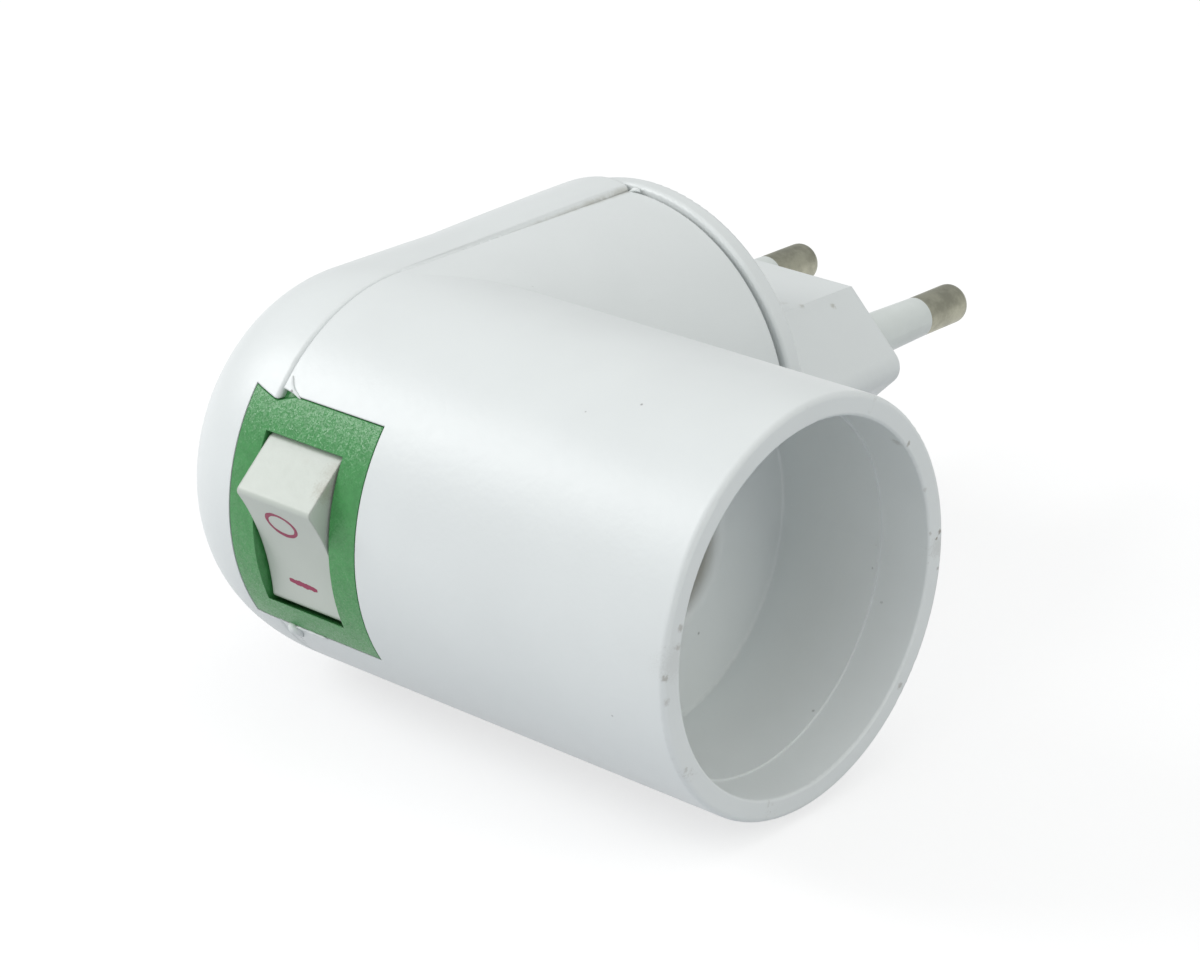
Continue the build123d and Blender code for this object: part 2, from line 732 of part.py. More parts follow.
with BuildPart() as pivot_terminal:
    with BuildSketch(at_x(switch_x - blade_width / 2)):
        with Locations(((saddle_y + tail_y) / 2, switch_z)):
            Rectangle(tail_y - saddle_y, terminal_sheet)
        with Locations((bend_centre.Y, bend_centre.Z)):
            Circle(saddle_r, mode=Mode.SUBTRACT)
    extrude(amount=blade_width)
pivot_terminal.part.label = "pivot_terminal"
export_step(pivot_terminal.part, "parts/pivot_terminal.step")

# Switch base: an insulating tray under the rocker, with a rim against the frame's box
base_top_y = box_inner_y
base_under_y = base_top_y + base_height


def tray_block(half_width, half_height, from_y, to_y):
    """A block centred on the switch between two distances along Y."""
    with BuildPart() as block:
        with BuildSketch(Plane.XY.offset(opening_z - half_height)):
            with Locations((switch_x, (from_y + to_y) / 2)):
                Rectangle(2 * half_width, to_y - from_y)
        extrude(amount=2 * half_height)
    return block.part


with BuildPart() as switch_base:
    add(tray_block(base_half_width, base_half_height, base_top_y, base_under_y))
    add(tray_block(box_width / 2 - window_fit, box_half_height - window_fit, base_top_y, base_top_y + base_rim))
    add(tray_block(base_half_width - base_wall, base_half_height - base_wall, base_top_y, base_under_y - base_floor),
        mode=Mode.SUBTRACT)
    slot_half = blade_width / 2 + window_fit
    for slot_z in (switch_z, lamp_tail_z - terminal_sheet / 2):
        with BuildSketch(at_x(switch_x - slot_half)):
            with Locations((base_under_y - base_floor / 2, slot_z)):
                Rectangle(2 * base_floor, terminal_sheet + 2 * window_fit)
        extrude(amount=2 * slot_half, mode=Mode.SUBTRACT)
switch_base.part.label = "switch_base"
export_step(switch_base.part, "parts/switch_base.step")

# Screw shell of the lamp socket, with a tab for its wire; its thread is fine detail
tab_end_x = base_back_x - 1.0
tab_mid_r = lamp_thread_r + shell_sheet / 2
with BuildPart() as screw_shell:
    with BuildSketch(at_x(shell_back_x)):
        with Locations((lamp_y, 0)):
            Circle(shell_outer_r)
            Circle(lamp_thread_r, mode=Mode.SUBTRACT)
    extrude(amount=shell_length)
    with BuildSketch(at_x(tab_end_x)):
        with Locations((lamp_y + tab_mid_r, 0)):
            Rectangle(shell_sheet, lug_width)
    extrude(amount=shell_back_x + shell_sheet - tab_end_x)
screw_shell.part.label = "screw_shell"
export_step(screw_shell.part, "parts/screw_shell.step")

# Socket base: closes the sleeve and carries the centre contact
with BuildPart() as socket_base:
    with BuildSketch(at_x(base_back_x)):
        with Locations((lamp_y, 0)):
            Circle(base_disc_r)
    extrude(amount=base_disc_thickness)
    with BuildSketch(at_x(sleeve_back_x)):
        with Locations((lamp_y, 0)):
            Circle(shell_outer_r)
            Circle(shell_outer_r - base_ring_wall, mode=Mode.SUBTRACT)
    extrude(amount=base_ring_height)
    with BuildSketch(at_x(base_back_x)):
        with Locations((lamp_y, 0)):
            Circle(eyelet_r + pin_fit)
        with Locations((lamp_y + tab_mid_r, 0)):
            Rectangle(shell_sheet + 4 * window_fit, lug_width + 2 * window_fit)
    extrude(amount=base_disc_thickness + base_ring_height, mode=Mode.SUBTRACT)
socket_base.part.label = "socket_base"
export_step(socket_base.part, "parts/socket_base.step")

# Centre contact: a spring tongue folded over itself
with BuildPart() as centre_contact:
    tongue_x = sleeve_back_x + tongue_sheet / 2
    with BuildSketch(Plane.XY.offset(-tongue_width / 2)):
        with BuildLine():
            FilletPolyline(
                (tongue_x, lamp_y - 3.6),
                (tongue_x, lamp_y + 3.6),
                (tongue_x + 1.2, lamp_y + 4.6),
                (tongue_x + 1.9, lamp_y - 1.6),
                (tongue_x + 1.3, lamp_y - 3.4),
                radius=0.5,
            )
        trace(line_width=tongue_sheet)
    extrude(amount=tongue_width)
    with BuildSketch(at_x(sleeve_back_x)):
        with Locations((lamp_y, 0)):
            Circle(eyelet_r + pin_fit)
    extrude(amount=tongue_sheet, mode=Mode.SUBTRACT)
centre_contact.part.label = "centre_contact"
export_step(centre_contact.part, "parts/centre_contact.step")

with BuildPart() as contact_eyelet:
    eyelet_front_x = sleeve_back_x + tongue_sheet
    with BuildSketch(at_x(base_back_x)):
        with Locations((lamp_y, 0)):
            Circle(eyelet_r)
    extrude(amount=eyelet_front_x - base_back_x)
    with BuildSketch(at_x(eyelet_front_x)):
        with Locations((lamp_y, 0)):
            Circle(eyelet_head_r)
    extrude(amount=eyelet_head)
    with BuildSketch(at_x(base_back_x)):
        with Locations((lamp_y, 0)):
            Circle(eyelet_head_r)
    extrude(amount=-eyelet_head)
contact_eyelet.part.label = "contact_eyelet"
export_step(contact_eyelet.part, "parts/contact_eyelet.step")

# Plug body: turning disc, neck and inner flange in one moulding with the flat six-sided plug block
block_length = -disc_front_y
side_run = block_half_height / tan(radians(block_side_slope))


def block_outline(grow):
    """The block's section: flat top and bottom, slanted sides that meet in a rounded edge."""
    with BuildSketch(at_y(0 if grow == 0 else disc_front_y)) as outline:
        with BuildLine():
            top = block_half_height + grow
            wide = block_half_width + grow
            Polyline((side_run - wide, top), (wide - side_run, top), (wide, 0), (wide - side_run, -top),
                     (side_run - wide, -top), (-wide, 0), close=True)
        make_face()
        tips = outline.vertices().group_by(Axis.X)
        fillet(tips[0] + tips[-1], block_tip_round)
        shoulders = [v for v in outline.vertices() if abs(abs(v.Z) - top) < 0.01]
        fillet(shoulders, block_top_round)
    return outline.sketch


with BuildPart() as plug_body:
    block_grow = block_length * tan(radians(block_draft))
    add(block_outline(0))
    add(block_outline(block_grow))
    loft(ruled=True)
    fillet(plug_body.faces().sort_by(Axis.Y)[-1].edges(), block_face_round)
    with BuildSketch(at_y(disc_back_y)):
        Circle(disc_r)
    extrude(amount=disc_rim)
    rims = plug_body.edges().filter_by(GeomType.CIRCLE).filter_by(lambda e: abs(e.radius - disc_r) < 0.01)
    fillet(rims, disc_edge)
    with BuildSketch(at_y(flange_inner_y)):
        Circle(flange_r)
    extrude(amount=flange_thickness)
    with BuildSketch(at_y(flange_inner_y)):
        Circle(neck_r)
    extrude(amount=disc_back_y - flange_inner_y + disc_rim / 2)
    # Stop lug
    with BuildSketch(at_y(flange_inner_y)):
        with BuildLine():
            lug_low = PolarLine((0, 0), stop_r, 180 - stop_half_angle)
            lug_high = PolarLine((0, 0), stop_r, 180 + stop_half_angle)
            RadiusArc(lug_low @ 1, lug_high @ 1, -stop_r)
        make_face()
    extrude(amount=flange_thickness)
    # Pin bores, wider at the face for the sleeves
    with BuildSketch(at_y(0)):
        with GridLocations(pin_gap, 0, 2, 1):
            Circle(sleeve_root_r + pin_fit)
    extrude(amount=-sleeve_seat, mode=Mode.SUBTRACT)
    with BuildSketch(at_y(0)):
        with GridLocations(pin_gap, 0, 2, 1):
            Circle(pin_core_r + pin_fit)
    extrude(amount=flange_inner_y, mode=Mode.SUBTRACT)
plug_body.part.label = "plug_body"
export_step(plug_body.part, "parts/plug_body.step")

# Pins, and the insulating sleeves on their inner halves
for side, place in ((1, "front"), (-1, "rear")):
    with BuildPart() as pin:
        with BuildSketch(at_y(pin_inner_y)):
            with Locations((side * pin_gap / 2, 0)):
                Circle(pin_core_r)
        extrude(amount=sleeve_length - pin_inner_y)
        with BuildSketch(at_y(sleeve_length)):
            with Locations((side * pin_gap / 2, 0)):
                Circle(pin_r)
        extrude(amount=pin_length - sleeve_length)
        fillet(pin.edges().sort_by(Axis.Y)[-1], pin_end_round)
        fillet(pin.edges().sort_by(Axis.Y)[0], pin_button)
    pin.part.label = f"pin_{place}"
    export_step(pin.part, f"parts/pin_{place}.step")

    with BuildPart() as sleeve:
        with BuildSketch(at_y(-sleeve_seat)):
            with Locations((side * pin_gap / 2, 0)):
                Circle(sleeve_root_r)
        extrude(amount=sleeve_seat)
        with BuildSketch(at_y(0)):
            with Locations((side * pin_gap / 2, 0)):
                Circle(sleeve_root_r)
        with BuildSketch(at_y(sleeve_length)):
            with Locations((side * pin_gap / 2, 0)):
                Circle(pin_r)
        loft()
        with BuildSketch(at_y(-sleeve_seat)):
            with Locations((side * pin_gap / 2, 0)):
                Circle(pin_core_r)
        extrude(amount=sleeve_seat + sleeve_length, mode=Mode.SUBTRACT)
    sleeve.part.label = f"pin_sleeve_{place}"
    export_step(sleeve.part, f"parts/pin_sleeve_{place}.step")

# Contact plate behind the swivel, with one arc for each pin to slide on
arc_r = pin_gap / 2
lug_angle = turn_range / 2
with BuildPart() as swivel_plate:
    with BuildSketch(at_y(plate_back_y)):
        Circle(plate_r)
        with PolarLocations(arc_r, 2, lug_angle):
            Rectangle(arc_sheet + 2 * window_fit, lug_width + 2 * window_fit, mode=Mode.SUBTRACT)
        Circle(arc_width, mode=Mode.SUBTRACT)
    extrude(amount=plate_thickness)
swivel_plate.part.label = "swivel_plate"
export_step(swivel_plate.part, "parts/swivel_plate.step")

arc_span = turn_range + 2 * arc_overrun
for start, place in ((0, "front"), (180, "rear")):
    with BuildPart() as arc:
        with BuildSketch(at_y(plate_face_y)):
            with BuildLine():
                CenterArc((0, 0), arc_r, start - arc_overrun, arc_span)
            trace(line_width=arc_width)
        extrude(amount=arc_sheet)
        with BuildSketch(at_y(plate_face_y)):
            with PolarLocations(arc_r, 1, start + lug_angle):
                Rectangle(arc_sheet, lug_width)
        extrude(amount=lug_end_y - plate_face_y)
    arc.part.label = f"contact_arc_{place}"
    export_step(arc.part, f"parts/contact_arc_{place}.step")


def wire(name, points, bend):
    """An insulated wire: a round tube along straight runs joined by tangent arcs."""
    with BuildPart() as tube:
        with BuildLine():
            route = FilletPolyline(*points, radius=bend)
        with BuildSketch(Plane(origin=route @ 0, z_dir=route % 0)):
            Circle(wire_r)
        sweep()
    tube.part.label = name
    export_step(tube.part, f"parts/{name}.step")
    return tube.part


lug_x = arc_r * cos(radians(lug_angle))
lug_z = arc_r * sin(radians(lug_angle))
wire_start_y = lug_end_y - wire_end_gap
wire_tail_y = tail_y + wire_end_gap
tab_y = lamp_y + tab_mid_r
lamp_tail_mid_z = lamp_tail_z - terminal_sheet / 2
eyelet_side_x = base_back_x - eyelet_head - wire_end_gap - wire_r

wire(
    "live_wire",
    [
        (lug_x, wire_start_y, -lug_z),
        (lug_x, wire_start_y - wire_lead, -lug_z),
        (switch_x, wire_tail_y + live_lead, switch_z - live_bend_z),
        (switch_x, wire_tail_y, switch_z),
    ],
    wire_bend,
)
wire(
    "neutral_wire",
    [
        (-lug_x, wire_start_y, lug_z),
        (-lug_x, wire_start_y - wire_lead, lug_z),
        (neutral_bend_x, tab_y, 0),
        (tab_end_x - wire_end_gap, tab_y, 0),
    ],
    wire_bend,
)
wire(
    "lamp_wire",
    [
        (switch_x, wire_tail_y, lamp_tail_mid_z),
        (switch_x, wire_tail_y + lamp_wire_lead, lamp_tail_mid_z),
        (eyelet_side_x, lamp_y, lamp_bend_z),
        (eyelet_side_x, lamp_y, lamp_end_z),
    ],
    wire_r + bend_margin,
)
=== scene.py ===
"""Dresses the plug-in lamp holder: finishes, print, screw thread, seam detail and a studio to see it in."""
from math import cos, pi, radians, sin, sqrt
from random import Random

import bmesh
import bpy
from bpy.props import FloatProperty, FloatVectorProperty, IntProperty, PointerProperty
from mathutils import Matrix, Vector


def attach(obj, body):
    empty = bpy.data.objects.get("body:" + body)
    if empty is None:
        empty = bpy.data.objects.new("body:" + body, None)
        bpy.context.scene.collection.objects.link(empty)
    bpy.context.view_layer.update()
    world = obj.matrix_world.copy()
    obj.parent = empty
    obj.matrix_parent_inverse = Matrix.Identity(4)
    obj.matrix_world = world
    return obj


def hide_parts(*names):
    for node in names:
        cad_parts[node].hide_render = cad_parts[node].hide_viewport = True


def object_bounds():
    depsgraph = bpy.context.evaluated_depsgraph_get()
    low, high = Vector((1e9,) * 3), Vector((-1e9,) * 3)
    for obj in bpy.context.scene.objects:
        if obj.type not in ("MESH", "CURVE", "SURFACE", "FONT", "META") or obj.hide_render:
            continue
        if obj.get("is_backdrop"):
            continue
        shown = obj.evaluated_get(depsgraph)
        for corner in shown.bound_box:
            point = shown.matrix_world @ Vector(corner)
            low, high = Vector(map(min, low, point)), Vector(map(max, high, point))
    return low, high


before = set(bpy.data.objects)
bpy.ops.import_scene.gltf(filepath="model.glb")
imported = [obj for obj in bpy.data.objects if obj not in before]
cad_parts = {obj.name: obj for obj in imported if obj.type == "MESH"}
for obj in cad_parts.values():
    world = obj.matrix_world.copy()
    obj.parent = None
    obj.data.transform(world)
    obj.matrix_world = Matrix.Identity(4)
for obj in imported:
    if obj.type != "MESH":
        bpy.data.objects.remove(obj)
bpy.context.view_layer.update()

bl_info = {
    "name": "Plug-in Lamp Holder",
    "version": (1, 0, 0),
    "blender": (4, 5, 0),
    "location": "View3D > Sidebar > Lamp Holder",
    "description": "Finishes and details of a plug-in lamp holder with a rocker switch and a turning plug",
    "category": "Object",
}

MM = 0.001

# Places shared with the solids, in millimetres in the row's frame
LAMP_Y = -49.6
MOUTH_X = 45.2
SEAM_X = -0.86
SHROUD_R = 18.15
BOSS_END_R = 18.4
BOSS_LENGTH = 30.3
SHELL_BACK_X = 12.0
SHELL_LENGTH = 14.6
SHELL_OUTER_R = 7.45
SHELL_CLEARANCE = 0.02
SHELL_SHEET = 0.3
THREAD_RUN_OUT = 1.2
TAB_END_X = 7.0
TAB_WIDTH = 2.4
TAB_OVERLAP = 0.3
SWITCH_X = 3.7
SWITCH_Z = 0.2
PIVOT_Y = -62.6
ROCKER_HALF_CHORD = 5.9
ROCKER_END_R = 8.1
ROCKER_HOLLOW = 0.8
ROCKER_TILT = 19.6
RING_X = SWITCH_X - 0.52
RING_ALONG = 2.93
BAR_X = SWITCH_X - 0.25
BAR_ALONG = -3.50
BAR_DROP = 0.10
PRINT_LIFT = 0.012

# Dark specks on the plastic, and from the twelfth on a painted shadow line along the seam's groove below the
# switch frame: X, Y and Z, radius in millimetres, and how strong each one is
SPECKS_AND_SHADOW_LINE = (
    (33.2, -56.7, 16.7, 0.16, 0.7),
    (29.1, -58.8, 15.6, 0.13, 0.45),
    (7.4, -41.4, 16.7, 0.13, 0.5),
    (39.3, -67.0, -5.1, 0.14, 0.5),
    (39.8, -33.6, -1.0, 0.13, 0.35),
    (39.7, -33.9, -3.1, 0.16, 0.5),
    (41.2, -34.6, -5.6, 0.24, 0.6),
    (39.7, -41.6, -13.8, 0.20, 0.5),
    (29.6, -44.8, -8.6, 0.20, 0.6),
    (0.2, -63.75, 11.4, 0.24, 0.8),
    (1.25, -63.95, 11.16, 0.17, 0.8),
    # Painted shadow: grey marks along the seam's groove below the lower nib
    (0.25, -64.35, -10.45, 0.30, 0.40),
    (0.38, -64.03, -11.0, 0.26, 0.45),
    (0.22, -63.7, -11.4, 0.26, 0.45),
    (0.06, -63.38, -11.82, 0.26, 0.40),
    (-0.1, -62.98, -12.25, 0.26, 0.35),
    (-0.27, -62.58, -12.69, 0.26, 0.30),
)
RIM_DIRT = (
    (45.2, -32.1, 1.26, 0.30, 0.75),
    (45.2, -32.5, 0.8, 0.22, 0.85),
    (45.2, -33.4, 1.5, 0.22, 0.35),
    (45.2, -32.3, 0.0, 1.3, 0.16),
    (45.2, -32.1, -2.1, 0.24, 0.4),
    (45.2, -33.5, -1.2, 0.18, 0.3),
    (45.2, -34.4, 5.8, 0.3, 0.2),
    (45.2, -65.8, 3.9, 0.42, 0.45),
    (45.2, -66.1, 2.4, 0.46, 0.40),
    (45.2, -67.6, 2.8, 0.30, 0.36),
    (45.2, -67.5, 0.2, 0.46, 0.48),
    (45.2, -65.6, 0.7, 0.34, 0.36),
    (45.2, -67.3, -1.9, 0.42, 0.30),
    (45.2, -66.6, 1.2, 2.0, 0.10),
    (45.2, -64.9, -8.7, 0.36, 0.30),
    (45.2, -36.8, -11.4, 0.40, 0.45),
    (45.1, -37.0, 10.7, 0.30, 0.6),
    (44.4, -37.6, 10.9, 0.7, 0.3),
)
SCUFFS = (
    (11.2, -8.2, 7.07, 0.45, 0.35),
    (11.9, -4.3, 6.13, 0.42, 0.5),
    (9.6, -8.9, 7.0, 0.6, 0.15),
)
ROCKER_DIRT = (
    (8.05, -67.6, 5.6, 1.5, 0.50),
    (8.05, -66.2, 6.6, 1.8, 0.38),
    (4.6, -66.6, 7.0, 0.5, 0.12),
)

# Burrs and flashes of white plastic: X, Y and Z and a radius in millimetres at each point
BURRS = {
    "nick_burr": ((-0.45, -62.95, 12.36, 0.06), (-0.05, -63.42, 11.86, 0.14), (0.35, -63.68, 11.58, 0.11),
                  (0.84, -63.86, 11.33, 0.16), (1.30, -63.99, 11.14, 0.08), (1.55, -64.04, 11.08, 0.04)),
    "lower_nib": ((0.25, -64.95, -9.82, 0.14), (0.55, -64.95, -10.02, 0.42), (0.85, -64.82, -10.28, 0.46),
                  (1.05, -64.52, -10.66, 0.30), (1.15, -64.18, -11.06, 0.08)),
    "frame_flash": ((0.9, -64.84, -9.92, 0.03), (1.5, -64.86, -9.90, 0.12), (2.1, -64.83, -9.93, 0.07),
                    (2.9, -64.85, -9.91, 0.14), (3.5, -64.84, -9.92, 0.09), (4.3, -64.85, -9.91, 0.12),
                    (4.9, -64.84, -9.92, 0.04)),
    "disc_nib": ((-0.75, -19.34, 18.30, 0.08), (-0.25, -19.22, 18.62, 0.20), (0.2, -19.18, 18.68, 0.20),
                 (0.5, -19.24, 18.52, 0.06)),
}
# Stretches along the seam, by Y, where flash fills the groove
SEAM_FILLS = ((-49.4, -41.4), (-41.0, -39.9), (-39.4, -38.7), (-38.2, -37.5), (-36.8, -36.3))
FILL_R = 0.23
FILL_DEPTH = 0.22
FILL_ASIDE = 0.14
FILL_SPACING = 0.3

# How the cover stands proud of the front body towards the plug, in millimetres along Y, Z and inland
PROUD_FROM_Y = -37.5
PROUD_SLOPE = 0.05
PROUD_LOW_Z = 13.0
PROUD_FULL_Z = 16.0
PROUD_EDGE_SHARE = 0.4
PROUD_EDGE_WIDTH = 3.5

# The floor's and the camera's places in metres, and how bright the floor is
FLOOR_HALF_WIDTH = 3
FLOOR_DROP = 0.00002
FLOOR_BOUNCE = (0.51, 0.53, 0.56, 1)
FLOOR_SHADE = (0.42, 0.42, 0.42, 1)
FLOOR_GLOW = 0.66
FAR_FLOOR_GLOW = 0.3
GLOW_FROM = 0.2
GLOW_TO = 0.8
CAMERA_PLACE = (0.20343, -0.25428, 0.11763)
LIT_MIDDLE = (0.015, -0.035, 0.0)


def colour(name, text, default):
    """A colour setting."""
    return FloatVectorProperty(name=name, description=text, subtype="COLOR", size=3, min=0, max=1,
                               default=default)


def length(name, text, default):
    """A length setting, in metres."""
    return FloatProperty(name=name, description=text, unit="LENGTH", default=default, precision=6)


def share(name, text, default):
    """A setting from 0 to 1."""
    return FloatProperty(name=name, description=text, subtype="FACTOR", min=0, max=1, default=default)


def angle(name, text, degrees):
    """An angle setting, given in degrees."""
    return FloatProperty(name=name, description=text, subtype="ANGLE", default=radians(degrees))


def power(name, text, default):
    """A lamp's power setting, in watts."""
    return FloatProperty(name=name, description=text, unit="POWER", default=default)


class HousingSettings(bpy.types.PropertyGroup):
    """The white mouldings."""

    white: colour("White", "Colour of the white mouldings", (0.80, 0.83, 0.825))
    gloss: share("Roughness", "Roughness of the white mouldings", 0.36)
    peel: length("Orange peel", "Size of the faint waviness of the moulded surface", 0.0007)
    # Colour of the dark specks, and of the painted shadow line in the seam's groove below the switch frame
    speck_and_shade: colour("Specks", "Colour of the dark specks in the plastic", (0.20, 0.20, 0.19))
    dirt: colour("Rim dirt", "Colour of the dirt in the scratches on the rim", (0.20, 0.16, 0.11))
    # Colour of grime, also used for the painted shade of the seam's valley near the plug
    grime_and_shade: colour("Seam grime", "Colour of what has settled in the seam near the plug", (0.36, 0.34, 0.27))
    edge: length("Edge rounding", "How soft the mouldings' edges look", 0.00016)


class SwitchSettings(bpy.types.PropertyGroup):
    """The switch's frame, rocker and print."""

    green: colour("Green", "Colour of the switch frame", (0.066, 0.30, 0.088))
    rocker: colour("Rocker", "Colour of the rocker", (0.58, 0.62, 0.565))
    print_red: colour("Print", "Colour of the marks on the rocker", (0.32, 0.035, 0.095))
    ring_height: length("Ring", "Height of the ring mark along the rocker", 0.0024)
    ring_width: length("Ring width", "Width of the ring mark across the rocker", 0.00334)
    bar_length: length("Bar", "Length of the bar mark", 0.00337)
    line_width: length("Line", "Width of the printed lines", 0.00038)
    rocker_edge: length("Rocker edges", "How soft the rocker's edges look", 0.0003)


class SocketSettings(bpy.types.PropertyGroup):
    """The lamp socket."""

    pitch: length("Thread pitch", "Distance between the turns of the lamp thread", 0.00282)
    depth: length("Thread depth", "Depth of the rolled thread", 0.0007)
    brass: colour("Brass", "Colour of the contacts", (0.62, 0.46, 0.20))


class PlugSettings(bpy.types.PropertyGroup):
    """The pins and their sleeves."""

    nickel: colour("Pins", "Colour of the dull nickel pins", (0.37, 0.365, 0.29))
    sleeve: colour("Sleeves", "Colour of the insulating sleeves", (0.75, 0.79, 0.765))


class WorksSettings(bpy.types.PropertyGroup):
    """The parts inside the housing, and its screws."""

    brass: colour("Contacts", "Colour of the switch's and the swivel's contacts", (0.60, 0.44, 0.19))
    steel: colour("Steel", "Colour of the screws and the spring", (0.48, 0.48, 0.46))
    cream: colour("Inner plastic", "Colour of the plastic bases", (0.62, 0.59, 0.50))
    blue: colour("Neutral", "Colour of the neutral wire's skin", (0.03, 0.12, 0.42))
    brown: colour("Live", "Colour of the live wires' skin", (0.16, 0.06, 0.03))


class StageSettings(bpy.types.PropertyGroup):
    """Floor, lamps and camera."""

    azimuth: angle("Azimuth", "Camera's turn round the object", 41.47)
    elevation: angle("Elevation", "Camera's height angle", 22.54)
    roll: angle("Roll", "Camera's roll", 0.24)
    lens: FloatProperty(name="Lens", description="Focal length in millimetres", default=105.27)
    key_power: power("Key", "Power of the key lamp", 1.36)
    fill_power: power("Fill", "Power of the lamp that faces the mouth", 0.8)
    front_power: power("Front", "Power of the lamp that faces the switch", 1.5)
    world: share("World", "Strength of the even light from all round", 0.56)
    samples_seed: IntProperty(name="Seed", description="Seed of the scattered details", default=7)


# Node helpers


def new_material(name, base, roughness, **sockets):
    """A material with a Principled shader; returns it with its node tree and the shader."""
    material = bpy.data.materials.new(name)
    material.use_nodes = True
    tree = material.node_tree
    shader = tree.nodes["Principled BSDF"]
    shader.inputs["Base Color"].default_value = (*base, 1)
    shader.inputs["Roughness"].default_value = roughness
    for socket, value in sockets.items():
        shader.inputs[socket.replace("_", " ")].default_value = value
    return material, tree, shader


def add_node(tree, kind, inputs=None, **settings):
    """A node with its settings and inputs; an input is a value or another node's output socket."""
    node = tree.nodes.new(kind)
    for key, value in settings.items():
        setattr(node, key, value)
    for key, value in (inputs or {}).items():
        if isinstance(value, bpy.types.NodeSocket):
            tree.links.new(value, node.inputs[key])
        else:
            node.inputs[key].default_value = value
    return node


def maths(tree, operation, first, second=0.0, third=0.0):
    """A Math node's output."""
    inputs = {0: first, 1: second, 2: third}
    return add_node(tree, "ShaderNodeMath", inputs, operation=operation).outputs[0]


def step(tree, value, start, end):
    """A smooth step from 0 at start to 1 at end."""
    inputs = {"Value": value, "From Min": start, "From Max": end}
    return add_node(tree, "ShaderNodeMapRange", inputs, interpolation_type="SMOOTHSTEP").outputs["Result"]


def mix_colour(tree, factor, first, second):
    """One colour laid over another by a factor."""
    node = add_node(tree, "ShaderNodeMix", data_type="RGBA")
    for socket, value in ((node.inputs[0], factor), (node.inputs[6], first), (node.inputs[7], second)):
        if isinstance(value, bpy.types.NodeSocket):
            tree.links.new(value, socket)
        else:
            socket.default_value = (*value, 1)
    return node.outputs[2]


def place(tree):
    """The place on the object, in the row's frame and in metres."""
    return add_node(tree, "ShaderNodeTexCoord").outputs["Object"]


def measure(tree, where, axis):
    """How far a place lies along the X, Y or Z axis."""
    return add_node(tree, "ShaderNodeSeparateXYZ", {0: where}).outputs[axis]


def noise(tree, where, size, detail=2.0, roughness=0.5):
    """A noise value with features of about the given size in metres."""
    inputs = {"Vector": where, "Scale": 1 / size, "Detail": detail, "Roughness": roughness}
    return add_node(tree, "ShaderNodeTexNoise", inputs).outputs[0]


def bump(tree, shader, height, distance, strength=1.0, normal=None):
    """Bump on a shader from a height value."""
    node = add_node(tree, "ShaderNodeBump", {"Height": height, "Distance": distance, "Strength": strength})
    if normal:
        tree.links.new(normal, node.inputs["Normal"])
    tree.links.new(node.outputs[0], shader.inputs["Normal"])


def soft_edges(tree, radius):
    """A normal that rounds edges off a little, to feed into the bump."""
    return add_node(tree, "ShaderNodeBevel", {"Radius": radius}, samples=6).outputs[0]


def sparkling(tree, where, size, tilt, normal):
    """A normal that leans a different way in each small cell, as the facets of a sparkling grain do."""
    cells = add_node(tree, "ShaderNodeTexVoronoi", {"Vector": where, "Scale": 1 / size, "Randomness": 1.0})
    lean = add_node(tree, "ShaderNodeVectorMath", {0: cells.outputs["Color"], 1: (0.5, 0.5, 0.5)},
                    operation="SUBTRACT").outputs[0]
    lean = add_node(tree, "ShaderNodeVectorMath", {0: lean, "Scale": tilt}, operation="SCALE").outputs[0]
    whole = add_node(tree, "ShaderNodeVectorMath", {0: normal, 1: lean}, operation="ADD").outputs[0]
    return add_node(tree, "ShaderNodeVectorMath", {0: whole}, operation="NORMALIZE").outputs[0]


def spots(tree, where, marks, ragged=0.0):
    """How strongly marks on a surface show; each holds X, Y, Z, a radius in millimetres and a strength."""
    stray = maths(tree, "SUBTRACT", noise(tree, where, 0.00022, 4.0, 0.8), 0.5)
    whole = None
    for x, y, z, radius, strength in marks:
        away = add_node(tree, "ShaderNodeVectorMath", {0: where, 1: (x * MM, y * MM, z * MM)},
                        operation="DISTANCE")
        wander = maths(tree, "MULTIPLY", stray, ragged * radius * MM)
        inside = step(tree, maths(tree, "ADD", away.outputs["Value"], wander), radius * MM, radius * 0.2 * MM)
        inside = maths(tree, "MULTIPLY", inside, strength)
        whole = inside if whole is None else maths(tree, "MAXIMUM", whole, inside)
    return whole


def dots(tree, where, spacing, size, keep):
    """Sparse round specks: 1 inside a speck, on a share of the cells."""
    cells = add_node(tree, "ShaderNodeTexVoronoi", {"Vector": where, "Scale": 1 / spacing, "Randomness": 1.0})
    near = step(tree, cells.outputs["Distance"], size / spacing, size / spacing * 0.5)
    lucky = add_node(tree, "ShaderNodeSeparateColor", {0: cells.outputs["Color"]}).outputs[0]
    chosen = maths(tree, "LESS_THAN", lucky, keep)
    return maths(tree, "MULTIPLY", near, chosen)


# Finishes


def white_moulding(name, settings, base_colour=None, edge=None):
    """White plastic: faint orange peel, a few dark specks and a little mottling."""
    white = tuple(base_colour or settings.white)
    material, tree, shader = new_material(name, white, settings.gloss, IOR=1.5)
    where = place(tree)
    mottle = noise(tree, where, 0.012, 3.0)
    base = mix_colour(tree, step(tree, mottle, 0.35, 0.7), white, tuple(v * 0.975 for v in white))
    specks = dots(tree, where, 0.0075, 0.00013, 0.30)
    base = mix_colour(tree, maths(tree, "MULTIPLY", specks, 0.6), base, tuple(settings.speck_and_shade))
    tree.links.new(base, shader.inputs["Base Color"])
    peel = noise(tree, where, settings.peel, 2.0)
    rough = add_node(tree, "ShaderNodeMapRange", {"Value": peel, "To Min": settings.gloss - 0.05,
                                                  "To Max": settings.gloss + 0.07})
    tree.links.new(rough.outputs["Result"], shader.inputs["Roughness"])
    bump(tree, shader, peel, 0.000028, 0.6, soft_edges(tree, edge or settings.edge))
    return material, tree, shader, base


